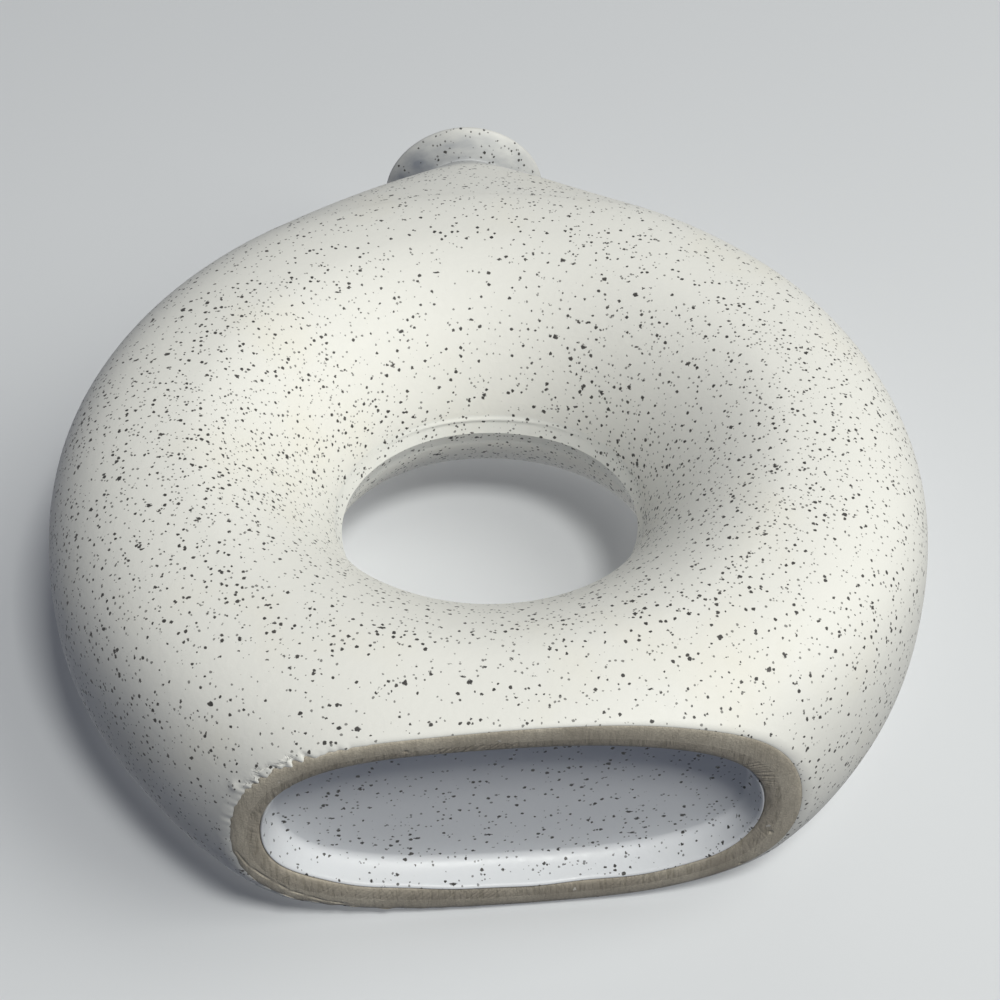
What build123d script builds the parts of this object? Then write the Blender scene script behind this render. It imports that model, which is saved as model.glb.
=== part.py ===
# Donut vase: a hollow stoneware ring that stands on an oval foot, with a short flared neck on its crown.
# Millimetres. +Z runs up through the neck, X is the vase's width and its front faces -Y.
# The origin is the middle of the foot, on the surface that the vase stands on.
#
# A potter makes it from six pieces of clay, luted together with slip while they are leather-hard:
# two half rings that meet in the plane Y = 0, a strip of clay over their joint inside the hole,
# a foot ring that closes the cut end below, a base panel set up inside that foot, and a neck collar.
import os
from math import cos, pi, sin, sqrt

from build123d import *

# The ring, seen from the front: two ovals on one centre. The table's plane cuts off the lower end of the
# outer one, and the cut is this far above its lowest point.
ring_width = 180.0
ring_height = 184.0
ring_cut_rise = 18.0
hole_width = 63.5
hole_height = 56.5

# The ring, cut across. Each quarter of a section is a Bezier arc, and a fullness is the length of the arc's
# handles as a share of its arms: 0.55 is a round arc, more is squarer and less is more pointed.
ring_depth = 59.0
wall = 4.5
outer_fullness_share = 0.68
hole_fullness_share = 0.45
section_count = 16

# The strip over the joint inside the hole, a low roof with its ridge in the plane Y = 0.
seam_width = 7.0
seam_ridge_height = 0.6
seam_edge_height = -0.2
seam_depth = 1.8

# The foot ring, and the recess that it leaves under the vase. The recess's wall stands in from the foot's
# ends by one inset and from the ring's front and back by the other.
foot_height = 11.0
foot_outer_round = 2.4
foot_inner_round = 1.2
recess_end_inset = 6.7
recess_side_inset = 7.75
recess_depth = 6.6
recess_fullness_share = 0.72

# The base panel is a shallow tray, turned over: its rim curls down the recess's wall in a cove.
panel_rim_thickness = 1.0
panel_rim_drop = 3.6
panel_cove_round = 3.0

# The neck collar, which sits a little to the right of the middle of the crown. Rises and drops are
# measured from the crown. Below its throat it widens to a saddle, and then follows the crown down in a
# skirt that is smoothed out over it. The skirt's ends stand out past the crown's outline at their level
# and its sides stand in from the ring's front and back. The hem lies inside the ring all round.
neck_offset = 3.0
lip_rise = 19.5
lip_diameter = 36.6
lip_round = 1.7
lip_band = 2.2
throat_rise = 8.8
throat_diameter = 33.0
saddle_rise = 0.5
saddle_length = 53.0
saddle_width = 40.6
skirt_drop = 8.0
skirt_end_overhang = 1.0
skirt_side_inset = 6.3
hem_drop = 16.0
hem_end_inset = 2.7
hem_side_inset = 3.8
mouth_diameter = 28.6
mouth_depth = 9.5
bore_diameter = 21.0
spigot_diameter = 27.0
spigot_drop = 5.6
round_fullness_share = 0.5523
skirt_fullness_share = 0.66

# Slip leaves this gap between curved joint faces. Flat joint faces touch.
slip_gap = 0.2

# Cuts run past the faces that they open by this much.
overrun = 2.0

half_depth = ring_depth / 2
ring_centre_height = ring_height / 2 - ring_cut_rise
ring_centre = Vector(0, 0, ring_centre_height)
crown_height = ring_centre_height + ring_height / 2
vase_height = crown_height + lip_rise
throat_height = crown_height + throat_rise
chamber_height = (crown_height + ring_centre_height + hole_height / 2) / 2


def chord(distance):
    """Length of the outer oval's level chord at a distance in from its highest or lowest point."""
    height_share = 1 - distance / (ring_height / 2)
    return ring_width * sqrt(1 - height_share**2)


# The foot ends where the outer oval meets the table.
foot_length = chord(ring_cut_rise)
recess_length = foot_length - 2 * recess_end_inset
recess_width = ring_depth - 2 * recess_side_inset
skirt_length = chord(skirt_drop) + 2 * skirt_end_overhang
skirt_width = ring_depth - 2 * skirt_side_inset
hem_length = chord(hem_drop) - 2 * hem_end_inset
hem_width = ring_depth - 2 * hem_side_inset


def quarter_arc(centre, first_arm, second_arm, fullness_share):
    """Bezier quarter of an oval, from the end of one arm to the end of the other."""
    start = centre + first_arm
    end = centre + second_arm
    return Bezier(start, start + second_arm * fullness_share, end + first_arm * fullness_share, end)


def longer(arm, growth):
    """The arm, longer by growth, or shorter where growth is negative."""
    return arm.normalized() * (arm.length + growth)


def ring_arms(turn, growth):
    """Middle of the ring's section at a turn round the hole, and its arms: out, to the front, and in."""
    along = Vector(sin(turn), 0, 0)
    upright = Vector(0, 0, cos(turn))
    outer_point = ring_centre + along * (ring_width / 2) + upright * (ring_height / 2)
    hole_point = ring_centre + along * (hole_width / 2) + upright * (hole_height / 2)
    middle = (outer_point + hole_point) / 2
    out_arm = longer(outer_point - middle, growth)
    in_arm = longer(hole_point - middle, growth)
    front_arm = Vector(0, -half_depth - growth, 0)
    return middle, out_arm, front_arm, in_arm


def half_section(turn, growth):
    """Front half of the ring's section, shut by a straight line in the joint plane."""
    middle, out_arm, front_arm, in_arm = ring_arms(turn, growth)
    outer_arc = quarter_arc(middle, out_arm, front_arm, outer_fullness_share)
    hole_arc = quarter_arc(middle, front_arm, in_arm, hole_fullness_share)
    return Wire([outer_arc, hole_arc, Line(middle + in_arm, middle + out_arm)])


def seam_section(turn):
    """Section of the strip in the hole: a ridge, two thin edges and a keel between the half rings."""
    middle, _, _, in_arm = ring_arms(turn, 0)
    inward = in_arm.normalized()
    hole_point = middle + in_arm
    edge = Vector(0, seam_width / 2, 0)
    ridge = hole_point + inward * seam_ridge_height
    edge_line = hole_point + inward * seam_edge_height
    keel = hole_point - inward * seam_depth
    return Wire.make_polygon([ridge, edge_line + edge, keel, edge_line - edge], close=True)


def loft_round(section):
    """Solid through a section repeated all the way round the hole, closed on itself at the ring's side."""
    sections = [section(pi / 2 + 2 * pi * i / section_count) for i in range(section_count)]
    return Solid.make_loft(sections + sections[:1])


def half_ring(growth):
    """Front half of the solid ring, grown or shrunk all over."""
    return loft_round(lambda turn: half_section(turn, growth))


def whole_ring(growth):
    """The solid ring, grown or shrunk all over."""
    front = half_ring(growth)
    return front + mirror(front, about=Plane.XZ)


def oval(length, width, height, fullness_share, across=0):
    """Flat oval face at a height, lengthwise along X and moved across by a distance along X."""
    centre = Vector(across, 0, height)
    right = Vector(length / 2, 0, 0)
    back = Vector(0, width / 2, 0)
    arms = [right, back, -right, -back]
    quarters = [quarter_arc(centre, arms[i], arms[(i + 1) % 4], fullness_share) for i in range(4)]
    return Face(Wire(quarters))


def prism(length, width, low, high, fullness_share):
    """Upright block with an oval outline."""
    return extrude(oval(length, width, low, fullness_share), amount=high - low, dir=(0, 0, 1))


def rod(diameter, low, high):
    """Upright cylinder on the neck's axis."""
    outline = Pos(neck_offset, 0, low) * Circle(diameter / 2)
    return extrude(outline, amount=high - low)


def edges_at(solid, height):
    """The solid's edges that lie flat at a height."""
    return solid.edges().filter_by_position(Axis.Z, height, height)


def slab(low, high):
    """Block between two heights, wider than the ring."""
    size_x = ring_width + 2 * overrun
    size_y = ring_depth + 2 * overrun
    return Pos(0, 0, (low + high) / 2) * Box(size_x, size_y, high - low)


def make_seam():
    """Strip of clay worked over the joint, all round inside the hole."""
    return loft_round(seam_section)


def make_front_shell(seam):
    """Front half ring: hollow, cut off above the foot, with a V for the seam and half the neck's opening."""
    shell = half_ring(0) - half_ring(-wall)
    shell -= slab(-ring_height / 2, foot_height)
    shell -= rod(spigot_diameter + 2 * slip_gap, chamber_height, vase_height)
    return shell - seam


def make_foot_ring():
    """Oval foot that carries the ring's curve on down, rounded where it meets the table."""
    foot = whole_ring(0) & slab(0, foot_height)
    foot = fillet(edges_at(foot, 0), foot_outer_round)
    foot -= prism(recess_length, recess_width, -overrun, foot_height + overrun, recess_fullness_share)
    rim = edges_at(foot, 0).sort_by(SortBy.LENGTH)[: len(edges_at(foot, 0)) // 2]
    return fillet(rim, foot_inner_round)


def make_base_panel():
    """Panel inside the foot: flat above, recessed below, with a cove where it turns down the wall."""
    length = recess_length - 2 * slip_gap
    width = recess_width - 2 * slip_gap
    rim_bottom = recess_depth - panel_rim_drop
    panel = prism(length, width, rim_bottom, foot_height, recess_fullness_share)
    hollow = prism(
        length - 2 * panel_rim_thickness,
        width - 2 * panel_rim_thickness,
        rim_bottom - overrun,
        recess_depth,
        recess_fullness_share,
    )
    hollow = fillet(edges_at(hollow, recess_depth), panel_cove_round)
    return panel - hollow


def make_neck_collar():
    """Flared collar on a skirt smoothed over the crown, with a spigot down through the wall and a bore."""
    levels = [
        oval(hem_length, hem_width, crown_height - hem_drop, skirt_fullness_share),
        oval(skirt_length, skirt_width, crown_height - skirt_drop, skirt_fullness_share),
        oval(saddle_length, saddle_width, crown_height + saddle_rise, skirt_fullness_share),
        oval(throat_diameter, throat_diameter, throat_height, round_fullness_share, neck_offset),
        oval(lip_diameter, lip_diameter, vase_height - lip_band, round_fullness_share, neck_offset),
        oval(lip_diameter, lip_diameter, vase_height, round_fullness_share, neck_offset),
    ]
    collar = Solid.make_loft([level.outer_wire() for level in levels])
    collar = fillet(edges_at(collar, vase_height), lip_round)
    collar -= whole_ring(slip_gap)
    collar += rod(spigot_diameter, crown_height - spigot_drop, throat_height)
    collar -= rod(bore_diameter, chamber_height, vase_height + overrun)
    mouth = loft(
        [
            Pos(neck_offset, 0, vase_height - mouth_depth) * Circle(bore_diameter / 2),
            Pos(neck_offset, 0, vase_height) * Circle(mouth_diameter / 2),
        ]
    )
    return collar - mouth


def write_node(name, shape):
    """Writes one node and prints what it is."""
    export_step(shape, f"parts/{name}.step")
    box = shape.bounding_box().size
    print(f"{name}: {len(shape.solids())} solid, {box.X:.1f} x {box.Y:.1f} x {box.Z:.1f} mm")


os.makedirs("parts", exist_ok=True)
hole_seam = make_seam()
front_shell = make_front_shell(hole_seam)
write_node("front_shell", front_shell)
write_node("back_shell", mirror(front_shell, about=Plane.XZ))
write_node("hole_seam", hole_seam)
write_node("foot_ring", make_foot_ring())
write_node("base_panel", make_base_panel())
write_node("neck_collar", make_neck_collar())
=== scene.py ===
# %% [markdown]
# # A speckled donut vase
# The real vase is a hollow stoneware ring about 180 mm across, luted together from a few pieces of clay,
# dipped in a matt white glaze with iron specks, and wiped bare where it stands. It lies on its back here,
# so that the camera looks past the foot and over the ring to the neck. Every piece below is a surface
# worked out with numpy in millimetres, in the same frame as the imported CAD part: +Z runs up through the
# neck, X is the width, and the front of the vase faces -Y.

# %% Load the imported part
import math

import bpy
import numpy as np
from mathutils import Matrix, Vector


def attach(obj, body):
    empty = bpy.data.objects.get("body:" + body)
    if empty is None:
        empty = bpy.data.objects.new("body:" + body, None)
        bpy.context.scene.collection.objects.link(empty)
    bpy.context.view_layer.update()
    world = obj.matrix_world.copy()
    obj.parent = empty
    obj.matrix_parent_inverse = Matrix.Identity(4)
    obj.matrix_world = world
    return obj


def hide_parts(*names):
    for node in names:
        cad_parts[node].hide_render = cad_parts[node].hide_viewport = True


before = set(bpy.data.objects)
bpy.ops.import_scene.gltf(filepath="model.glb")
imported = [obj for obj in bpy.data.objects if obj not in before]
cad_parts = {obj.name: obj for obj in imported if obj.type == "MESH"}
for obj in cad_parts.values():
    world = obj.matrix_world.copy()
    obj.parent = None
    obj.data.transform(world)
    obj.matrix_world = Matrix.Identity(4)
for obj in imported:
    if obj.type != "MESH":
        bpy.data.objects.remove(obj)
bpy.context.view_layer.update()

print("CAD nodes:", sorted(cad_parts))

# %% [markdown]
# ## Sizes
# These are the values that the CAD source is built from, so that each new surface lies on its solid, but
# the neck stands 0.2 mm further right here, and the half rings stop 4.2 mm from the joint in the hole. The
# ring is two ovals on one centre. Each slice through it is an oval too, fuller outside than inside.

# %% Sizes in millimetres
half_width, half_height, half_depth = 90.0, 92.0, 29.5
hole_half_width, hole_half_height = 31.75, 28.25
centre_height = 74.0
wall = 4.5
outer_fullness, hole_fullness = 0.68, 0.45
crown_height = centre_height + half_height
foot_height = 11.0
neck_x = 3.2
spigot_hole_radius = 13.7
seam_reach = 4.2

mid_x, arm_x = (half_width + hole_half_width) / 2, (half_width - hole_half_width) / 2
mid_z, arm_z = (half_height + hole_half_height) / 2, (half_height - hole_half_height) / 2


# %% [markdown]
# ## The ring's surface
# Cut the ring anywhere and the slice has the same shape, only stretched. So one unit curve is enough:
# `out` falls from 1 at the rim to 0 at the crest of the front and -1 inside the hole, while `deep` rises
# from 0 at the joint to 1 at the crest and falls back to 0. A point of the ring is that curve, scaled by
# the slice's arms and carried round the hole by the turn.

# %% Slices and ring
def bezier(a, b, c, d, s):
    """Cubic Bezier: the four controls weighted by r^3, 3r^2s, 3rs^2 and s^3, with r = 1 - s."""
    r = 1 - s
    return a * r**3 + 3 * b * r**2 * s + 3 * c * r * s**2 + d * s**3


def slice_curve(s):
    """Unit slice: s from 0 at the rim over 1 at the crest to 2 inside the hole, two Bezier quarters."""
    first = s < 1
    q = np.where(first, s, s - 1)
    out = np.where(first, bezier(1, 1, outer_fullness, 0, q), -bezier(0, hole_fullness, 1, 1, q))
    deep = np.where(first, bezier(0, outer_fullness, 1, 1, q), bezier(1, 1, hole_fullness, 0, q))
    return out, deep


def ring_point(turn, s, side, inset=0.0):
    """x = sin(turn)(middle + arm out), z = centre + cos(turn)(middle + arm out), y = side half_depth deep."""
    out, deep = slice_curve(s)
    length = np.hypot(arm_x * np.sin(turn), arm_z * np.cos(turn))
    arm = 1 - inset / length
    x = np.sin(turn) * (mid_x + arm_x * arm * out)
    z = centre_height + np.cos(turn) * (mid_z + arm_z * arm * out)
    return np.stack(np.broadcast_arrays(x, side * (half_depth - inset) * deep, z), -1)


def start_of_slice(turn):
    """Where each slice begins: at the joint (0), at the foot's top, or at the round hole for the neck."""
    s = np.linspace(0, 1.1, 801)
    x, y, z = np.moveaxis(ring_point(turn[:, None], s, 1), -1, 0)
    foot = foot_height - z
    neck = np.where(z > centre_height, spigot_hole_radius - np.hypot(x - neck_x, y), -1.0)
    cut = np.maximum(foot, neck)
    k = np.argmax(cut <= 0, axis=1)
    row = np.arange(len(turn))
    before, after = cut[row, np.maximum(k - 1, 0)], cut[row, k]
    share = np.where(k > 0, before / np.where(k > 0, before - after, 1), 0)
    return np.where(k > 0, s[np.maximum(k - 1, 0)] + share * s[1], 0.0)


print("rim at the crown:", ring_point(np.array(0.0), np.array(0.0), -1))


# %% [markdown]
# ## Made by hand
# Nothing on a hand-built vase is quite true. Two gentle departures are added to every surface as one
# smooth field, so that neighbouring pieces still meet: the base has settled a millimetre and a half to the
# back, and the walls wander by a few tenths of a millimetre over distances of 30 to 80 mm.

# %% Departures from the true shape
def smooth_step(value):
    """3v^2 - 2v^3 on the value clamped to 0..1."""
    v = np.clip(value, 0, 1)
    return v * v * (3 - 2 * v)


wander_rng = np.random.default_rng(7)
wander_waves = wander_rng.normal(size=(10, 3))
wander_waves *= (2 * math.pi / wander_rng.uniform(32, 80, 10) / np.linalg.norm(wander_waves, axis=1))[:, None]
wander_phases = wander_rng.uniform(0, 2 * math.pi, (10, 3))
wander_depth = 0.07
settle_shift = np.array([-0.6, 1.45, 0.0])
settle_reach = 24.0
level_below = 6.0


def by_hand(points):
    """Adds ten sine waves per axis, and the base's shift, which fades out on the way up to settle_reach.

    The waves' upright part fades out below level_below, so that the foot stands flat.
    """
    phase = points @ wander_waves.T
    drift = np.stack([np.sin(phase + wander_phases[:, axis]).sum(-1) for axis in range(3)], -1)
    drift[..., 2:] *= smooth_step(points[..., 2:] / level_below)
    settle = smooth_step((settle_reach - points[..., 2:]) / settle_reach) * settle_shift
    return points + wander_depth * drift + settle


# %% [markdown]
# ## From grids to meshes
# A piece is a chain of bands. Each band is a grid of points, its columns run round the piece and close on
# themselves, and its last row is the next band's first row. Within a band the shading is smooth, and the
# normals come from the grid itself, so that two pieces with one surface show no line between them.

# %% Bands into a mesh
def grid_normals(grid):
    """Cross product of the steps along the rows and along the columns, at each point."""
    round_it = np.concatenate([grid[:, -2:], grid, grid[:, :2]], axis=1)
    along = np.gradient(round_it, axis=1)[:, 2:-2]
    across = np.gradient(grid, axis=0, edge_order=2 if len(grid) > 2 else 1)
    normal = np.cross(along, across)
    size = np.linalg.norm(normal, axis=-1, keepdims=True)
    return normal / np.maximum(size, 1e-12)


def make_piece(name, bands, materials, replaces=(), open_ends=False):
    """Mesh from bands of (grid in mm, material number). The chain closes on itself, or ends in two poles."""
    columns = bands[0][0].shape[1]
    rows, faces, normals, numbers = [], [], [], []
    count = 0
    here = np.arange(columns)
    there = np.roll(here, -1)
    total = sum(len(grid) - 1 for grid, _ in bands)
    last = total if open_ends else total - 1
    for grid, number in bands:
        first = count
        rows.append(grid[:-1])
        count += len(grid) - 1
        shade = grid_normals(grid)
        for i in range(len(grid) - 1):
            low = first + i
            high = low + 1 if low < last else 0
            faces.append(np.stack([low * columns + here, low * columns + there,
                                   high * columns + there, high * columns + here], 1))
            corner_normals = [shade[i, here], shade[i, there], shade[i + 1, there], shade[i + 1, here]]
            normals.append(np.stack(corner_normals, 1))
            numbers.append(np.full(columns, number))
    if open_ends:
        rows.append(bands[-1][0][-1:])
    points = np.concatenate(rows).reshape(-1, 3)
    faces, normals, numbers = np.concatenate(faces), np.concatenate(normals), np.concatenate(numbers)
    a, b, c, d = (points[faces[:, k]] for k in range(4))
    volume = (np.einsum("ij,ij->", a, np.cross(b, c)) + np.einsum("ij,ij->", a, np.cross(c, d))) / 6
    if volume < 0:
        faces, normals = faces[:, ::-1], -normals[:, ::-1]
    mesh = bpy.data.meshes.new(name)
    mesh.from_pydata((points / 1000).tolist(), [], faces.tolist())
    mesh.polygons.foreach_set("use_smooth", np.ones(len(faces), bool))
    for material in materials:
        mesh.materials.append(material)
    mesh.polygons.foreach_set("material_index", numbers.astype(np.int32))
    mesh.normals_split_custom_set(normals.reshape(-1, 3).tolist())
    mesh.update()
    piece = bpy.data.objects.new(name, mesh)
    bpy.context.scene.collection.objects.link(piece)
    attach(piece, "root")
    if replaces:
        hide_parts(*replaces)
    print(f"{name}: {2 * len(faces)} triangles, {abs(volume) / 1000:.1f} cm3")
    return piece


def ruled(first, last, rows=2):
    """Straight band from one row of points to another."""
    share = np.linspace(0, 1, rows)[:, None, None]
    return first * (1 - share) + last * share


# %% [markdown]
# ## Glaze and clay
# The glaze is a tin-white stoneware glaze, fired matt. A Voronoi texture scatters a point in each cell of
# a grid, and the ball round each point cuts the surface in a small disc, which makes a speck. Cells are as
# large as the specks are far apart, in millimetres.

# %% Colours and the node helper
def linear(code):
    """sRGB hex to linear, channel by channel."""
    values = [int(code[i:i + 2], 16) / 255 for i in (1, 3, 5)]
    return tuple(v / 12.92 if v <= 0.04045 else ((v + 0.055) / 1.055) ** 2.4 for v in values) + (1.0,)


def add(tree, kind, inputs=None, **settings):
    """Adds a node, sets its properties, then sets or links its inputs by name or number."""
    node = tree.nodes.new("ShaderNode" + kind)
    for key, value in settings.items():
        setattr(node, key, value)
    for key, value in (inputs or {}).items():
        socket = node.inputs[key]
        if isinstance(value, bpy.types.NodeSocket):
            tree.links.new(value, socket)
        else:
            socket.default_value = value
    return node


def new_material(name):
    """An empty node tree with its output, and the object's coordinates in millimetres."""
    material = bpy.data.materials.new(name)
    material.use_nodes = True
    tree = material.node_tree
    tree.nodes.clear()
    place = add(tree, "TexCoord").outputs["Object"]
    millimetres = add(tree, "VectorMath", {0: place, 1: (1000, 1000, 1000)}, operation="MULTIPLY").outputs[0]
    return material, tree, millimetres


# %% Specks
speckiest_height = 70.0
quiet_spot = (0.0, -24.0, 112.0)

# The smallest speck's share of the largest one's radius, and the dark core's share of a speck's own.
smallest_speck, speck_core = 0.45, 0.75


def specks(tree, place, cell, radius, kept, ragged=0.35, stretch=(1, 1, 1), turn=(0, 0, 0)):
    """Mask of specks: near a cell's point, within a radius that its own random value sets, in kept cells."""
    noise = add(tree, "TexNoise", {"Vector": place, "Scale": 1.9, "Detail": 1.0})
    centred = add(tree, "VectorMath", {0: noise.outputs["Color"], 1: (0.5, 0.5, 0.5)}, operation="SUBTRACT")
    bent = add(tree, "VectorMath", {0: centred.outputs[0], 1: (ragged,) * 3, 2: place},
               operation="MULTIPLY_ADD")
    shaped = add(tree, "Mapping", {"Vector": bent.outputs[0], "Scale": stretch, "Rotation": turn})
    cells = add(tree, "TexVoronoi", {"Vector": shaped.outputs[0], "Scale": 1 / cell, "Randomness": 1.0})
    split = add(tree, "SeparateColor", {"Color": cells.outputs["Color"]})
    size = add(tree, "MapRange", {"Value": split.outputs[0], 1: 0.0, 2: 1.0,
                                  3: radius * smallest_speck / cell, 4: radius / cell})
    inner = add(tree, "Math", {0: size.outputs[0], 1: speck_core}, operation="MULTIPLY")
    spot = add(tree, "MapRange", {"Value": cells.outputs["Distance"], 1: inner.outputs[0], 2: size.outputs[0],
                                  3: 1.0, 4: 0.0})
    keep = add(tree, "Math", {0: split.outputs[1], 1: kept}, operation="LESS_THAN")
    return add(tree, "Math", {0: spot.outputs[0], 1: keep.outputs[0]}, operation="MULTIPLY").outputs[0]


# Painted shade under the neck's flare: where its fold lies, and the grey that is painted there.
fold_radius, fold_height = 14.0, 179.5
throat_shade_grey = linear("#828791")


def painted_throat_shade(tree, place, body):
    """Painted shade in streaks: a grey cloud in the fold under the flare, deepest at the left, the side away
    from the lamps.
    """
    level = add(tree, "SeparateXYZ", {"Vector": place})
    sideways = add(tree, "VectorMath", {0: place, 1: (1, 1, 0)}, operation="MULTIPLY").outputs[0]
    radius = add(tree, "VectorMath", {0: sideways, 1: (neck_x, 0, 0)}, operation="DISTANCE").outputs["Value"]
    out = add(tree, "Math", {0: radius, 1: fold_radius}, operation="SUBTRACT").outputs[0]
    up = add(tree, "Math", {0: level.outputs["Z"], 1: fold_height}, operation="SUBTRACT").outputs[0]
    off_fold = add(tree, "CombineXYZ", {"X": out, "Y": up}).outputs[0]
    off_fold = add(tree, "VectorMath", {0: off_fold}, operation="LENGTH").outputs["Value"]
    near = add(tree, "MapRange", {"Value": off_fold, 1: 3.0, 2: 10.5, 3: 1.0, 4: 0.0},
               interpolation_type="SMOOTHSTEP").outputs[0]
    left = add(tree, "MapRange", {"Value": level.outputs["X"], 1: -12.0, 2: 12.0, 3: 1.0, 4: 0.6}).outputs[0]
    drawn = add(tree, "Mapping", {"Vector": place, "Scale": (0.25, 0.6, 0.9)}).outputs[0]
    streaky = add(tree, "TexNoise", {"Vector": drawn, "Scale": 0.5, "Detail": 4.0}).outputs["Fac"]
    depth = add(tree, "MapRange", {"Value": streaky, 1: 0.3, 2: 0.7, 3: 0.55, 4: 1.0}).outputs[0]
    share = add(tree, "Math", {0: near, 1: depth}, operation="MULTIPLY").outputs[0]
    share = add(tree, "Math", {0: share, 1: left}, operation="MULTIPLY").outputs[0]
    return add(tree, "Mix", {"Factor": share, "A": body, "B": throat_shade_grey}, data_type="RGBA").outputs["Result"]


def glaze(name, white, cream, roughness):
    """Matt white glaze with iron specks of three sizes, a few streaks, faint cream stains, orange peel and
    painted shade in the fold under the neck's flare.
    """
    material, tree, place = new_material(name)
    level = add(tree, "SeparateXYZ", {"Vector": place}).outputs["Z"]
    from_belt = add(tree, "Math", {0: level, 1: speckiest_height}, operation="SUBTRACT").outputs[0]
    from_belt = add(tree, "Math", {0: from_belt}, operation="ABSOLUTE").outputs[0]
    belt = add(tree, "MapRange", {"Value": from_belt, 1: 12.0, 2: 62.0, 3: 0.66, 4: 0.36}).outputs[0]
    from_quiet = add(tree, "VectorMath", {0: place, 1: quiet_spot}, operation="DISTANCE").outputs["Value"]
    quiet = add(tree, "MapRange", {"Value": from_quiet, 1: 10.0, 2: 28.0, 3: 0.5, 4: 1.0}).outputs[0]
    belt = add(tree, "Math", {0: belt, 1: quiet}, operation="MULTIPLY").outputs[0]
    drift = add(tree, "TexNoise", {"Vector": place, "Scale": 1 / 30, "Detail": 2.0}).outputs["Fac"]
    patchy = add(tree, "MapRange", {"Value": drift, 1: 0.3, 2: 0.7, 3: 0.75, 4: 1.25}).outputs[0]
    crowd = add(tree, "Math", {0: belt, 1: patchy}, operation="MULTIPLY").outputs[0]
    fine = specks(tree, place, 1.00, 0.33, crowd)
    plain = specks(tree, place, 1.35, 0.46, crowd, ragged=0.5)
    flakes = specks(tree, place, 2.9, 0.62, crowd, ragged=0.9)
    streaks = specks(tree, place, 2.6, 0.42, 0.25, ragged=0.7, stretch=(0.45, 1.1, 1.1), turn=(0.3, 0.5, 0.9))
    stain = add(tree, "TexNoise", {"Vector": place, "Scale": 1 / 28, "Detail": 3.0}).outputs["Fac"]
    stain = add(tree, "MapRange", {"Value": stain, 1: 0.54, 2: 0.80, 3: 0.0, 4: 0.45}).outputs[0]
    body = add(tree, "Mix", {"Factor": stain, "A": white, "B": cream}, data_type="RGBA").outputs["Result"]
    # Painted shade: a grey cloud in the fold under the flare, darkest at the left.
    body = painted_throat_shade(tree, place, body)
    tone = add(tree, "TexNoise", {"Vector": place, "Scale": 0.9, "Detail": 0.0}).outputs["Fac"]
    iron = add(tree, "Mix", {"Factor": tone, "A": linear("#151414"), "B": linear("#4d4a47")},
               data_type="RGBA").outputs["Result"]
    faint = add(tree, "Math", {0: fine, 1: 0.75}, operation="MULTIPLY").outputs[0]
    with_fine = add(tree, "Mix", {"Factor": faint, "A": body, "B": iron}, data_type="RGBA").outputs["Result"]
    dark = add(tree, "Math", {0: plain, 1: flakes}, operation="MAXIMUM").outputs[0]
    dark = add(tree, "Math", {0: dark, 1: streaks}, operation="MAXIMUM").outputs[0]
    colour = add(tree, "Mix", {"Factor": dark, "A": with_fine, "B": iron}, data_type="RGBA").outputs["Result"]
    peel = add(tree, "TexNoise", {"Vector": place, "Scale": 0.55, "Detail": 3.0}).outputs["Fac"]
    relief = add(tree, "Bump", {"Height": peel, "Distance": 0.00012, "Strength": 0.5}).outputs[0]
    matt = add(tree, "MapRange", {"Value": peel, 1: 0.3, 2: 0.7,
                                  3: roughness - 0.06, 4: roughness + 0.06}).outputs[0]
    shader = add(tree, "BsdfPrincipled", {"Base Color": colour, "Roughness": matt, "IOR": 1.5,
                                          "Normal": relief})
    add(tree, "OutputMaterial", {"Surface": shader.outputs[0]})
    return material


speckled_glaze = glaze("speckled_matt_glaze", linear("#e7e6e0"), linear("#e5e0d0"), 0.62)
seam_glaze = glaze("seam_glaze", linear("#e3e3de"), linear("#e0dccf"), 0.6)
# Painted shade: the base's glaze is a little greyer and bluer than the body's, for the cool shade in the
# recess.
base_glaze = glaze("base_glaze", linear("#dfe1e4"), linear("#d9dadb"), 0.42)
print("glazes:", [m.name for m in (speckled_glaze, seam_glaze, base_glaze)])
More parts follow.
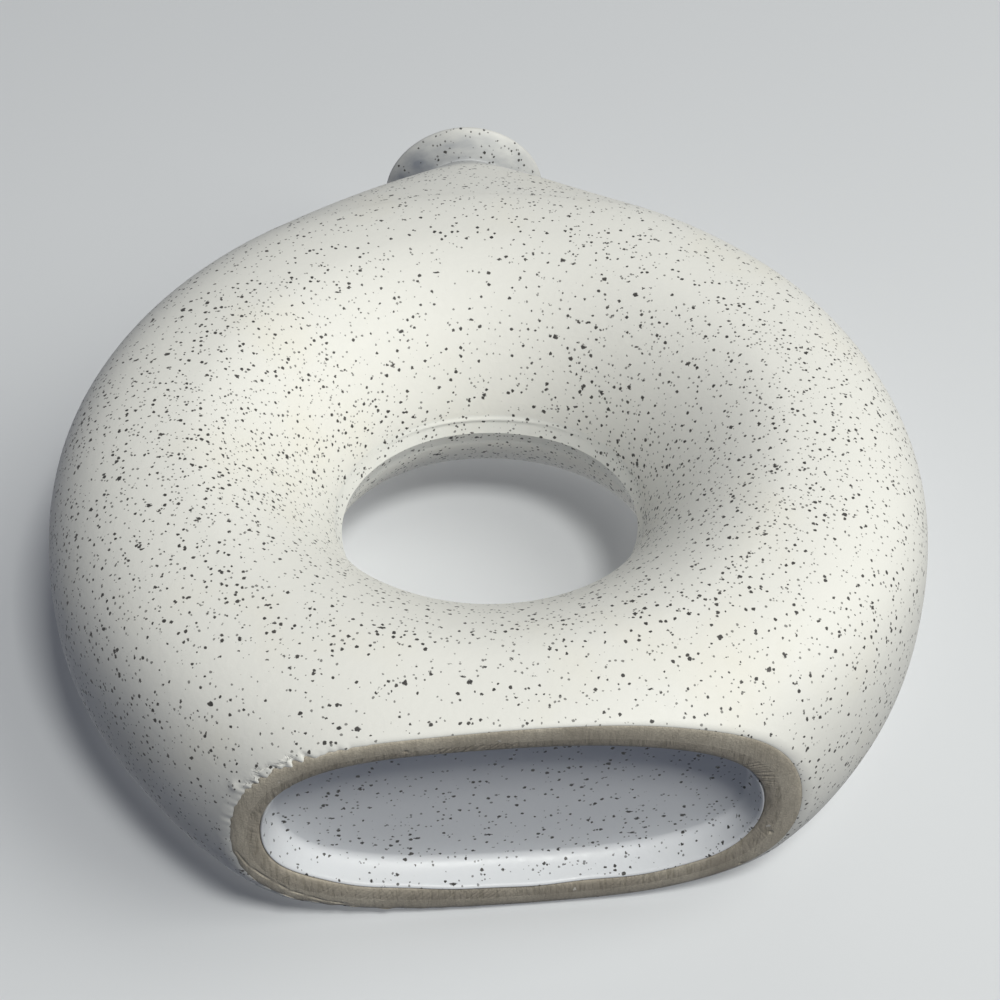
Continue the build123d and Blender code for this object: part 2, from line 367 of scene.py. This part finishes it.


# %% [markdown]
# The foot is wiped bare of glaze with a sponge, so its clay stays dull, buff and sandy, in lighter and
# darker patches. The inner side of its band is scored by the trimming tool, and its clay is painted a little
# darker as painted shade, because that side faces away from the lamps. The sand is drawn at 0.4 mm, coarser
# than the real grains, so that it shows.

# %% Bare stoneware
def stoneware(name, dark, light, scored):
    """Buff clay, patchy from dark to light, with sand-sized grain, scored strokes and pale dust."""
    material, tree, place = new_material(name)
    patch = add(tree, "TexNoise", {"Vector": place, "Scale": 1 / 14, "Detail": 4.0,
                                   "Roughness": 0.6}).outputs["Fac"]
    patch = add(tree, "MapRange", {"Value": patch, 1: 0.36, 2: 0.64, 3: 0.0, 4: 1.0}).outputs[0]
    body = add(tree, "Mix", {"Factor": patch, "A": dark, "B": light},
               data_type="RGBA").outputs["Result"]
    grain = add(tree, "TexNoise", {"Vector": place, "Scale": 2.4, "Detail": 4.0,
                                   "Roughness": 0.7}).outputs["Fac"]
    grit = add(tree, "MapRange", {"Value": grain, 1: 0.35, 2: 0.7, 3: 0.0, 4: 0.55}).outputs[0]
    sandy = add(tree, "Mix", {"Factor": grit, "A": body, "B": linear("#989081")},
                data_type="RGBA").outputs["Result"]
    drawn = add(tree, "Mapping", {"Vector": place, "Rotation": (0, 0, 0.6),
                                  "Scale": (2.6, 0.5, 1.0)}).outputs[0]
    stroke = add(tree, "TexNoise", {"Vector": drawn, "Scale": 0.5, "Detail": 3.0}).outputs["Fac"]
    stroke = add(tree, "MapRange", {"Value": stroke, 1: 0.48, 2: 0.62, 3: 0.0, 4: scored}).outputs[0]
    sandy = add(tree, "Mix", {"Factor": stroke, "A": sandy, "B": linear("#8b8475")},
                data_type="RGBA").outputs["Result"]
    dust = specks(tree, place, 4.0, 0.5, 0.25, ragged=1.0)
    colour = add(tree, "Mix", {"Factor": dust, "A": sandy, "B": linear("#e0dbd1")},
                 data_type="RGBA").outputs["Result"]
    height = add(tree, "Math", {0: grain, 1: stroke}, operation="SUBTRACT").outputs[0]
    relief = add(tree, "Bump", {"Height": height, "Distance": 0.0002, "Strength": 0.7}).outputs[0]
    shader = add(tree, "BsdfPrincipled", {"Base Color": colour, "Roughness": 0.85, "IOR": 1.5,
                                          "Normal": relief})
    add(tree, "OutputMaterial", {"Surface": shader.outputs[0]})
    return material


bare_stoneware = stoneware("bare_stoneware", linear("#b8af9f"), linear("#dad1bf"), 0.2)
# Painted shade: the scored clay on the band's inner side is a darker copy of the bare clay.
trimmed_and_shaded_stoneware = stoneware("trimmed_and_shaded_stoneware", linear("#a69d8f"), linear("#c4bbab"), 0.5)
print("clay:", bare_stoneware.name, trimmed_and_shaded_stoneware.name)

# %% [markdown]
# ## The two half rings
# The potter presses each half in a mould and joins them rim to rim. Here a half is the ring's surface from
# the joint to the strip inside the hole, with its inner wall 4.5 mm behind. Columns are spaced along the
# edge where the half begins, which follows the joint, the foot's top and the neck's hole, by its length
# and a little by the turn.

# %% Columns round the ring
fine_turn = np.linspace(0, 2 * math.pi, 4001)
mm_per_radian = 12
edge = ring_point(fine_turn, start_of_slice(fine_turn), 1)
edge_step = np.linalg.norm(np.diff(edge, axis=0), axis=1) + mm_per_radian * np.diff(fine_turn)
edge_length = np.concatenate([[0], np.cumsum(edge_step)])
ring_columns = 760
turns = np.interp(np.linspace(0, edge_length[-1], ring_columns, endpoint=False), edge_length, fine_turn)
slice_starts = start_of_slice(turns)
hole_s = np.linspace(1, 2, 2001)
slice_end = np.interp(-seam_reach, -slice_curve(hole_s)[1] * half_depth, hole_s)
print(f"{ring_columns} columns, slices end at {slice_end:.3f}")


# %% Half rings
slice_rows = 104


def make_half(name, side, node):
    """Outer wall from the start of each slice to the seam, the wall's edge, the inner wall, and back."""
    share = np.linspace(0, 1, slice_rows)[:, None]
    s = slice_starts + (slice_end - slice_starts) * share
    outer = by_hand(ring_point(turns, s, side))
    inner = by_hand(ring_point(turns, s[::-8], side, inset=wall))
    bands = [(outer, 0), (ruled(outer[-1], inner[0]), 0), (inner, 0), (ruled(inner[-1], outer[0]), 0)]
    return make_piece(name, bands, [speckled_glaze], replaces=[node])


front_half = make_half("front_half", -1, "front_shell")
back_half = make_half("back_half", 1, "back_shell")

# %% [markdown]
# ## The strip in the hole
# A strip of clay is worked over the joint inside the hole, where a sponge can't reach well. It has a low
# ridge along the joint, which light catches as a crisp line, and at the top its front edge was left as a
# soft bead.

# %% Hole seam
ridge_height, ridge_half_width = 0.75, 3.5
bead_height, bead_place, bead_spread, bead_turn = 0.32, 3.2, 0.5, 0.55


def seam_rise(y, turn):
    """Ridge height (1 - |y| / half width)^1.5, plus a bell-shaped bead near the front, strongest at the top."""
    ridge = ridge_height * np.clip(1 - np.abs(y) / ridge_half_width, 0, 1) ** 1.5
    top = np.exp(-((((turn + math.pi) % (2 * math.pi) - math.pi) / bead_turn) ** 2))
    bead = bead_height * top * np.exp(-(((y + bead_place) / bead_spread) ** 2))
    return ridge + bead


def make_seam():
    """The slice's tip from -seam_reach to seam_reach, raised into the hole along the slice, and its back."""
    y = np.linspace(-seam_reach, seam_reach, 57)[:, None]
    s = np.interp(np.abs(y), half_depth * slice_curve(hole_s)[1][::-1], hole_s[::-1])
    face = ring_point(turns, s, 1)
    face[..., 1] = y
    middle = np.stack([np.sin(turns) * mid_x, 0 * turns, centre_height + np.cos(turns) * mid_z], -1)
    tip = ring_point(turns, np.full_like(turns, 2.0), 1)
    inward = (tip - middle) / np.linalg.norm(tip - middle, axis=-1, keepdims=True)
    face = by_hand(face + inward * seam_rise(y, turns)[..., None])
    back = ring_point(turns, s, 1, inset=wall)
    back[..., 1] = y
    back = by_hand(back)[::-8]
    ridge_row = len(face) // 2
    bands = [(face[:ridge_row + 1], 0), (face[ridge_row:], 0), (ruled(face[-1], back[0]), 0), (back, 0),
             (ruled(back[-1], face[0]), 0)]
    return make_piece("hole_strip", bands, [seam_glaze], replaces=["hole_seam"])


hole_strip = make_seam()

# %% [markdown]
# ## The neck
# The collar is thrown on the wheel and set on the crown with slip, then smoothed until the joint is gone.
# Its profile is turned round the neck's axis. Below the throat each column is a Bezier curve that leaves
# the throat and lands on the ring's surface along its slope. The clay was smoothed out far along
# the crown, and round to the front and back until no step was left.

# %% Height of the crown under the neck
edge_s = np.linspace(0, 1, 20001)
edge_out, edge_deep = slice_curve(edge_s)


def crown_surface(x, y):
    """Height of the ring above (x, y): y gives the place on the slice, x then gives the turn."""
    out = np.interp(np.abs(y) / half_depth, edge_deep, edge_out)
    sine = x / (mid_x + arm_x * out)
    return centre_height + np.sqrt(1 - sine**2) * (mid_z + arm_z * out)


# %% Neck collar
lip_height = crown_height + 19.9
throat_radius, throat_height = 12.9, crown_height + 13.6
lip_radius, lip_inner_radius, lip_drop = 18.6, 16.2, 2.0
flare_out, flare_up = 1.1, 0.5
bore_radius, bore_top = 10.5, lip_height - 4.6
spigot_radius, spigot_bottom = 13.5, crown_height - 5.6
skirt_left, skirt_right, skirt_front = 54.0, 44.6, 27.3
skirt_squareness = 3.9
skirt_lift = 0.04
neck_columns = 540
neck_angle = np.linspace(0, 2 * math.pi, neck_columns, endpoint=False)


def on_neck(radius, height):
    """Point at a radius round the neck's axis and at a height."""
    radius, height = np.broadcast_arrays(radius, height)
    return np.stack([neck_x + radius * np.cos(neck_angle), radius * np.sin(neck_angle), height], -1)


def make_neck():
    """Skirt, fold, flare, lip, mouth, bore and spigot: curves and straight lines, carried round the axis.

    The skirt's first handle is the shorter of two lengths, blended by a power mean so that no corner shows:
    one is a share of the way in to the throat, and the other stops it short of the throat's height.
    """
    ones = np.ones(neck_columns)
    skirt_side = np.where(np.cos(neck_angle) > 0, skirt_right, skirt_left)
    reach = (np.abs(np.cos(neck_angle) / skirt_side) ** skirt_squareness
             + np.abs(np.sin(neck_angle) / skirt_front) ** skirt_squareness) ** (-1 / skirt_squareness)

    def landing(radius, lift=0.0):
        x, y = neck_x + radius * np.cos(neck_angle), radius * np.sin(neck_angle)
        return on_neck(radius, crown_surface(x, y) + lift)

    slope_step = 0.5
    foot_point, foot_inside = landing(reach, skirt_lift), landing(reach - slope_step, skirt_lift)
    slope = (foot_point - foot_inside) / slope_step
    longest = 0.62 * (reach - throat_radius)
    highest = 0.74 * (throat_height - foot_point[:, 2]) / -slope[:, 2]
    handle = (longest**-6 + highest**-6) ** (-1 / 6)
    throat = on_neck(throat_radius * ones, throat_height)
    shoulder = on_neck((throat_radius + 2.8) * ones, throat_height - 3.9)
    below_fold = on_neck((throat_radius + 0.7) * ones, throat_height - 0.95)
    above_fold = on_neck((throat_radius + flare_out) * ones, throat_height + flare_up)
    t = np.linspace(0, 1, 70)[:, None, None]
    skirt = bezier(foot_point, foot_point - slope * handle[:, None], shoulder, below_fold, t)
    fold = bezier(below_fold, throat, throat, above_fold, np.linspace(0, 1, 10)[:, None, None])
    u = np.linspace(0, 1, 26)[:, None]
    flare_heights = (throat_height + flare_up, throat_height + 1.1, throat_height + 2.1, lip_height - lip_drop)
    flare = on_neck(bezier(throat_radius + flare_out, 15.3, 17.0, lip_radius, u) * ones,
                    bezier(*flare_heights, u) * ones)
    a = np.linspace(0, 1, 22)[:, None]
    lip_heights = (lip_height - lip_drop, lip_height - 1.1, lip_height + 0.15, lip_height - 0.05)
    lip = on_neck(bezier(lip_radius, lip_radius + 0.8, lip_radius - 0.2, lip_inner_radius, a) * ones,
                  bezier(*lip_heights, a) * ones)
    mouth_heights = (lip_height - 0.05, lip_height - 0.3, bore_top + 3.2, bore_top)
    mouth = on_neck(bezier(lip_inner_radius, 13.6, bore_radius, bore_radius, u) * ones,
                    bezier(*mouth_heights, u) * ones)
    bore = ruled(mouth[-1], on_neck(bore_radius * ones, spigot_bottom), 8)
    rim = ruled(bore[-1], on_neck(spigot_radius * ones, spigot_bottom), 3)
    under_gap = 0.2
    spigot = ruled(rim[-1], landing(spigot_radius * ones, -under_gap), 3)
    shares = np.linspace(0, 1, 8)
    below = np.stack([landing(spigot_radius + (reach - spigot_radius) * share,
                              (skirt_lift + under_gap) * share - under_gap) for share in shares])
    outside = np.concatenate([skirt, fold[1:], flare[1:], lip[1:], mouth[1:]])
    bands = [outside, bore, rim, spigot, below]
    return make_piece("neck", [(by_hand(b), 0) for b in bands], [speckled_glaze],
                      replaces=["neck_collar"])


neck = make_neck()

# %% [markdown]
# ## The foot
# The ring's wall runs on down to the table, where the potter trims a band bare so that it doesn't stick to
# the kiln shelf. The glaze stops in a small rounded edge, and below it lies the clay, a little lower.
# Columns run round the outline, and rows run from the body down the wall, under the foot and up inside.

# %% Outlines of the foot
foot_columns = 930


def along_loop(quarter, share):
    """Points at shares of the length of a loop, made of one quarter and its three mirror images."""
    left, right = (quarter * [-1, 1])[-2::-1], (quarter * [1, -1])[-2::-1]
    loop = np.concatenate([quarter, left, (quarter * -1)[1:], right])
    length = np.concatenate([[0], np.cumsum(np.linalg.norm(np.diff(loop, axis=0), axis=1))])
    at = share * length[-1]
    return np.stack([np.interp(at, length, loop[:, k]) for k in range(2)], -1)


def wall_outline(height, share):
    """The ring's own outline at a height: s gives the place on the slice, and the height gives the turn."""
    s_max = np.interp((mid_z - (centre_height - height)) / arm_z, -edge_out, edge_s)
    q = np.linspace(0, 1, 600)
    s = s_max * np.sin(q * math.pi / 2)
    out, deep = slice_curve(s)
    cosine = np.clip((centre_height - height) / (mid_z + arm_z * out), -1, 1)
    quarter = np.stack([np.sqrt(1 - cosine**2) * (mid_x + arm_x * out), half_depth * deep], -1)
    quarter[-1, 0] = 0
    return along_loop(quarter, share)


def oval_outline(half_length, half_breadth, fullness, share):
    """Four Bezier quarters of an oval, at shares of its length."""
    q = np.linspace(0, 1, 500)
    quarter = np.stack([half_length * bezier(1, 1, fullness, 0, q),
                        half_breadth * bezier(0, fullness, 1, 1, q)], -1)
    return along_loop(quarter, share)


recess_half_length, recess_half_breadth, recess_fullness = 46.9, 21.8, 0.72
recess_shift = np.array([-0.85, -0.15])
recess_turn = 0.030
column_share = np.arange(foot_columns) / foot_columns


def recess_outline(count):
    """The recess's oval, turned and shifted a little as it was trimmed by hand."""
    share = np.arange(count) / count
    oval = oval_outline(recess_half_length, recess_half_breadth, recess_fullness, share)
    c, s = math.cos(recess_turn), math.sin(recess_turn)
    return oval @ np.array([[c, s], [-s, c]]) + recess_shift


outer_foot = wall_outline(1.0, column_share)
dense_count = 6000
dense_recess = recess_outline(dense_count)
nearest = np.array([np.argmin(((dense_recess - p) ** 2).sum(1)) for p in outer_foot[::10]])
nearest_turn = np.unwrap(nearest * 2 * math.pi / dense_count)
nearest_turn = np.interp(column_share, np.append(column_share[::10], 1.0),
                         np.append(nearest_turn, nearest_turn[0] + 2 * math.pi))
inner_foot = np.stack([np.interp(nearest_turn / (2 * math.pi) % 1, np.arange(dense_count + 1) / dense_count,
                                 np.append(dense_recess[:, k], dense_recess[0, k])) for k in range(2)], -1)
band_width = np.linalg.norm(outer_foot - inner_foot, axis=1)
print(f"bare band: {band_width.min():.1f} to {band_width.max():.1f} mm wide")


# %% Foot ring
def waves_round(seed, waves, share):
    """Sum of sines round the foot at a share of the way round, with random phases, of about unit size."""
    rng = np.random.default_rng(seed)
    return sum(np.sin(2 * math.pi * (w * share + rng.random())) for w in waves) / math.sqrt(len(waves) / 2)


def bell(distance, spread):
    """exp(-(distance / spread)^2)."""
    return np.exp(-((distance / spread) ** 2))


def away_from(points, line):
    """Distance in the foot's plane from each point to a chain of straight lines."""
    shortest = np.full(points.shape[:-1], 1e9)
    for start, end in zip(line[:-1], line[1:]):
        start, step = np.array(start), np.subtract(end, start)
        from_start = points[..., :2] - start
        share = np.clip((from_start @ step) / (step @ step), 0, 1)
        shortest = np.minimum(shortest, np.linalg.norm(from_start - share[..., None] * step, axis=-1))
    return shortest


ladder_groove = [(-53.0, 4.8), (-51.4, 9.0), (-48.8, 12.8), (-44.0, 18.6), (-38.1, 22.6), (-33.5, 24.6)]
crinkled_patch = [(-44.5, -21.0), (-36.3, -25.0)]
glaze_blob = np.array([-51.9, -13.6, 0.9])
pinholes = [(42.6, 20.2), (47.5, 10.2), (34.1, 17.9), (-20.9, -22.3)]
pinhole_depth = pinhole_spread = 0.35


def hand_marks(points):
    """Sinks the groove and pinholes into the clay, cracks and crumples the glaze, and adds the blob beside it.

    A groove is a bell of the distance from its line, and a crumple is a product of bent sine waves.
    """
    x, y, z = np.moveaxis(points, -1, 0)
    low = smooth_step((2.6 - z) / 1.4)
    broken = 0.6 + 0.4 * np.sin(1.9 * x + np.sin(0.7 * y))
    sunk = 0.26 * broken * bell(away_from(points, ladder_groove), 0.22)
    for hole_x, hole_y in pinholes:
        sunk = sunk + pinhole_depth * bell(np.hypot(x - hole_x, y - hole_y), pinhole_spread)
    folds = (np.sin(5.3 * x + 2.6 * np.sin(3.7 * y + 4.1 * z))
             * np.sin(4.3 * y - 3.1 * z + 2.2 * np.sin(2.9 * x)))
    crumple = 0.2 * bell(away_from(points, crinkled_patch), 2.0) * folds
    sunk = sunk - crumple
    degrees = np.degrees(np.arctan2(y, x))
    crack_height = 1.25 + 0.3 * np.sin(0.9 * degrees) + 0.12 * np.sin(3.1 * degrees)
    crack_reach = smooth_step((degrees + 165) / 1.5) * smooth_step((-151 - degrees) / 3)
    crack = 0.45 * crack_reach * bell(z - crack_height, 0.15)
    outward = points[..., :2] / np.linalg.norm(points[..., :2], axis=-1, keepdims=True)
    blob = 0.75 * bell(np.linalg.norm(points - glaze_blob, axis=-1), 1.15)
    moved = points.copy()
    moved[..., 2] += low * sunk - 0.25 * blob
    moved[..., :2] += outward * (blob - crack - low * crumple)[..., None]
    return moved


around = np.degrees(np.arctan2(outer_foot[:, 1], outer_foot[:, 0]))
cracked_at, flaky_at = -156, 148
cracked = bell((around - cracked_at + 180) % 360 - 180, 15)
flaky = bell((around - flaky_at + 180) % 360 - 180, 26)
glaze_line = (0.42 + 0.05 * waves_round(3, [2, 3, 5, 7, 11], column_share)
              + cracked * (0.35 + 0.22 * waves_round(4, range(40, 150, 9), column_share))
              + flaky * 0.16 * waves_round(5, range(17, 80, 5), column_share))
roll_height = 1.0
roll_inset = (0.5 + 0.5 * (outer_foot[:, 0] / 54) ** 4
              + 0.15 * flaky * waves_round(6, range(15, 60, 4), column_share))
inner_lift = 0.75
glaze_thickness = 0.14
crown_share, band_roundness = 0.46, 2.2
stroke_depth = 0.03


def make_foot():
    """Glazed wall rolled in at its end, bare band with its crown, recess wall and hidden top.

    Across the band the surface is half a superellipse, |cos|^(2/2.2) by sin^(2/2.2), lowest at its crown.
    """
    roll_top = glaze_line + roll_height
    levels = roll_top + (foot_height - roll_top) * (np.linspace(1, 0, 34)[:, None] ** 1.6)
    heights = np.linspace(0.2, foot_height, 28)
    table = np.stack([wall_outline(h, column_share) for h in heights])

    def on_wall(z, inset=0.0):
        place = np.interp(z.ravel(), heights, np.arange(len(heights))).reshape(z.shape)
        low = np.clip(place.astype(int), 0, len(heights) - 2)
        share = (place - low)[..., None]
        column = np.arange(foot_columns)
        xy = table[low, column] * (1 - share) + table[low + 1, column] * share
        inward = inner_foot - outer_foot
        inward /= np.linalg.norm(inward, axis=-1, keepdims=True)
        return np.concatenate([xy + inward * np.asarray(inset)[..., None], z[..., None]], -1)

    wall_rows = on_wall(levels)
    roll = np.linspace(0, math.pi / 2, 14)[:, None]
    edge_rows = on_wall(glaze_line + roll_height * (1 - np.sin(roll)), roll_inset * (1 - np.cos(roll)))
    start = edge_rows[-1] + np.array([0, 0, glaze_thickness])
    inner = np.concatenate([inner_foot, np.full((foot_columns, 1), inner_lift)], -1)
    angle = np.linspace(0, math.pi, 52)[:, None]
    cosine, sine = np.abs(np.cos(angle)) ** (2 / band_roundness), np.sin(angle) ** (2 / band_roundness)
    outer_side = angle < math.pi / 2
    across = np.where(outer_side, crown_share * (1 - cosine), crown_share + (1 - crown_share) * cosine)
    top = np.where(outer_side, start[:, 2], inner_lift)
    scored = smooth_step((across - 0.45) / 0.2) * smooth_step((1 - across) / 0.06)
    scored = scored * (1.2 + waves_round(9, [2, 3, 5, 9], column_share))
    strokes = np.clip(waves_round(10, range(90, 260, 13), column_share + 0.02 * across), 0, 1.2)
    band = np.concatenate([start[:, :2] * (1 - across[..., None]) + inner[:, :2] * across[..., None],
                           (top * (1 - sine) + stroke_depth * scored * strokes)[..., None]], -1)
    band = np.concatenate([edge_rows[-1:], band])
    # From this row on, the band's inner side takes the scored clay with its painted shade.
    trimmed_row = 29
    rise = np.linspace(inner_lift, foot_height, 4)[:, None, None]
    recess_wall = np.concatenate([np.broadcast_to(inner[:, :2], (4, foot_columns, 2)),
                                  np.broadcast_to(rise, (4, foot_columns, 1))], -1)
    bare, glazed, trimmed = range(3)
    bands = [(np.concatenate([wall_rows, edge_rows[1:]]), glazed), (band[:trimmed_row + 1], bare),
             (band[trimmed_row:], trimmed), (recess_wall, bare), (ruled(recess_wall[-1], wall_rows[0]), bare)]
    bands = [(hand_marks(by_hand(b)), n) for b, n in bands]
    return make_piece("foot", bands, [bare_stoneware, speckled_glaze, trimmed_and_shaded_stoneware],
                      replaces=["foot_ring"])


foot = make_foot()

# %% [markdown]
# ## The base panel
# Inside the foot a panel closes the vase, set up by 6.6 mm and glazed. It curls down the recess's wall in a
# cove, where the glaze has pooled, and its own edge is a soft white lip along the bare band.

# %% Base panel
panel_columns = 640
recess_depth = 6.6
rim_height, rim_front_rise, rim_wander = 0.62, 0.95, 0.16


def make_panel():
    """Hidden top from a pole, outside wall, lip, cove and the flat, which ends in the other pole."""
    outline = recess_outline(panel_columns)
    ahead, behind = np.roll(outline, -1, 0), np.roll(outline, 1, 0)
    tangent = ahead - behind
    tangent /= np.linalg.norm(tangent, axis=1, keepdims=True)
    inward = np.stack([-tangent[:, 1], tangent[:, 0]], -1)
    way_round = np.arange(panel_columns) / panel_columns
    rim = (rim_height + rim_front_rise * smooth_step((-outline[:, 1] - 6) / 9)
           + rim_wander * waves_round(8, [2, 3, 5, 8, 13], way_round))

    def offset(u, z):
        u, z = np.broadcast_arrays(u, z)
        return np.concatenate([outline + inward * u[..., None], z[..., None]], -1)

    ones = np.ones(panel_columns)
    centre = np.append(outline.mean(0), 0)
    a = np.linspace(0, 1, 10)[:, None]
    lip = offset(bezier(0.06, 0.08, 0.55, 0.85, a) * ones, rim + bezier(0.5, -0.25, -0.2, 0.55, a))
    b = np.linspace(0, 1, 22)[:, None]
    cove = offset(bezier(0.85, 0.95, 1.2, 3.0, b) * ones,
                  bezier(rim + 0.55, rim + 2.4, recess_depth - 0.05, recess_depth - 0.02, b))
    share = np.linspace(1, 0, 26)[:, None, None] ** 0.9
    edge_row = cove[-1]
    flat = centre + (edge_row - centre) * share
    flat[..., 2] = recess_depth - 0.02 + 0.25 * smooth_step(1 - share[..., 0]) * ones
    top_edge = offset(0.06 * ones[None], foot_height * ones[None])[0]
    top = centre + (top_edge - centre) * np.linspace(0, 1, 4)[:, None, None]
    top[..., 2] = foot_height
    side = ruled(top[-1], lip[0], 3)
    bands = [top, side, np.concatenate([lip, cove[1:], flat[1:]])]
    return make_piece("base", [(by_hand(x), 0) for x in bands], [base_glaze], replaces=["base_panel"],
                      open_ends=True)


base = make_panel()

# %% [markdown]
# ## Camera
# The vase lies on its back with its foot towards the camera, so the camera stands below the foot's plane
# and in front of the vase, and looks up along the neck. Its place and direction were fitted to the
# outlines in the photo.

# %% Camera
camera_data = bpy.data.cameras.new("camera")
camera_data.lens, camera_data.sensor_width = 79.2, 36.0
camera_data.clip_start, camera_data.clip_end = 0.01, 20.0
camera = bpy.data.objects.new("camera", camera_data)
bpy.context.scene.collection.objects.link(camera)
right = Vector((0.99624956, -0.00610071, -0.08631108))
down = Vector((-0.05841101, 0.68850334, -0.72287711))
ahead = Vector((0.06383553, 0.72520751, 0.68556479))
camera.matrix_world = Matrix.Translation((-0.0265609, -0.3355373, -0.2361107)) @ Matrix(
    (right, -down, -ahead)).transposed().to_4x4()
bpy.context.scene.camera = camera
print("camera:", camera.location)

# %% [markdown]
# ## Floor and light
# The vase lies on one pale sheet and stands on another in the other views. Each sheet shows only from the
# side that the vase is on, and fades into the pale world away from it. A softened lamp over the
# front, a little towards the foot, shares the work with a wide window on the right. Both are so far round
# that the base lies in half shade, with the foot's own shadow along its upper edge. The room adds a faint
# cool light from all round. A last lamp lights the back for the other views, from straight opposite the
# camera, so that nothing the camera sees here catches it. It makes no highlights, because glaze mirrors a lamp
# at a grazing angle, and that would draw a bright line round the hole.

# %% Stage
pale = linear("#d9dbde")


def sheet_material(name):
    """Pale paper, seen from its front only, that fades out with distance from the vase."""
    material = bpy.data.materials.new(name)
    material.use_nodes = True
    tree = material.node_tree
    tree.nodes.clear()
    place = add(tree, "TexCoord").outputs["Object"]
    from_vase = add(tree, "VectorMath", {0: place, 1: (0, 0, 0.09)}, operation="DISTANCE").outputs["Value"]
    fade = add(tree, "MapRange", {"Value": from_vase, 1: 0.30, 2: 0.60, 3: 0.0, 4: 1.0},
               interpolation_type="SMOOTHSTEP").outputs[0]
    backside = add(tree, "NewGeometry").outputs["Backfacing"]
    gone = add(tree, "Math", {0: fade, 1: backside}, operation="MAXIMUM").outputs[0]
    paper = add(tree, "BsdfPrincipled", {"Base Color": pale, "Roughness": 0.9, "Specular IOR Level": 0.2})
    clear = add(tree, "BsdfTransparent")
    both = add(tree, "MixShader", {0: gone, 1: paper.outputs[0], 2: clear.outputs[0]})
    add(tree, "OutputMaterial", {"Surface": both.outputs[0]})
    return material


def sheet(name, corners):
    """One large square whose front faces the vase."""
    mesh = bpy.data.meshes.new(name)
    mesh.from_pydata(corners, [], [(0, 1, 2, 3)])
    mesh.materials.append(sheet_material(name))
    floor = bpy.data.objects.new(name, mesh)
    bpy.context.scene.collection.objects.link(floor)
    floor.visible_shadow = floor.visible_diffuse = floor.visible_glossy = False
    return floor


back_y, table_z = 0.0308, -0.0002
lying_floor = sheet("lying_floor", [(-1, back_y, -1), (1, back_y, -1), (1, back_y, 1), (-1, back_y, 1)])
standing_floor = sheet("standing_floor",
                       [(-1, -1, table_z), (1, -1, table_z), (1, 1, table_z), (-1, 1, table_z)])


# %% Lamps and world
def lamp(name, towards, distance, size, level, colour):
    """Square area lamp that faces the vase. At level 1 alone it shows a surface that faces it as it is."""
    data = bpy.data.lights.new(name, "AREA")
    data.shape, data.size = "SQUARE", size
    data.energy = level * math.pi**2 * distance**2
    data.color = linear(colour)[:3]
    light = bpy.data.objects.new(name, data)
    direction = Vector(towards).normalized()
    light.location = Vector((0, 0, 0.08)) + direction * distance
    light.rotation_mode = "QUATERNION"
    light.rotation_quaternion = direction.to_track_quat("Z", "Y")
    light.visible_camera = False
    bpy.context.scene.collection.objects.link(light)
    return light


overhead_lamp = lamp("overhead_lamp", (0.17, -0.90, -0.40), 1.6, 0.32, 0.50, "#fffffa")
window_lamp = lamp("window_lamp", (0.65, -0.74, -0.17), 1.6, 1.3, 0.64, "#fffff8")
back_lamp = lamp("back_lamp", (0.06, 0.73, 0.69), 1.8, 0.5, 0.95, "#ffffff")
back_lamp.visible_glossy = False

world = bpy.data.worlds.new("world")
world.use_nodes = True
bpy.context.scene.world = world
world.node_tree.nodes.clear()
seen = add(world.node_tree, "LightPath")
seen_rays = {0: seen.outputs["Is Camera Ray"], 1: seen.outputs["Is Glossy Ray"]}
share_seen = add(world.node_tree, "Math", seen_rays, operation="MAXIMUM").outputs[0]
ambient = add(world.node_tree, "Background", {"Color": linear("#cbdaff"), "Strength": 0.085})
shown = add(world.node_tree, "Background", {"Color": pale, "Strength": 0.9})
mixed = add(world.node_tree, "MixShader", {0: share_seen, 1: ambient.outputs[0], 2: shown.outputs[0]})
add(world.node_tree, "OutputWorld", {"Surface": mixed.outputs[0]})
bpy.context.scene.view_settings.view_transform = "Standard"
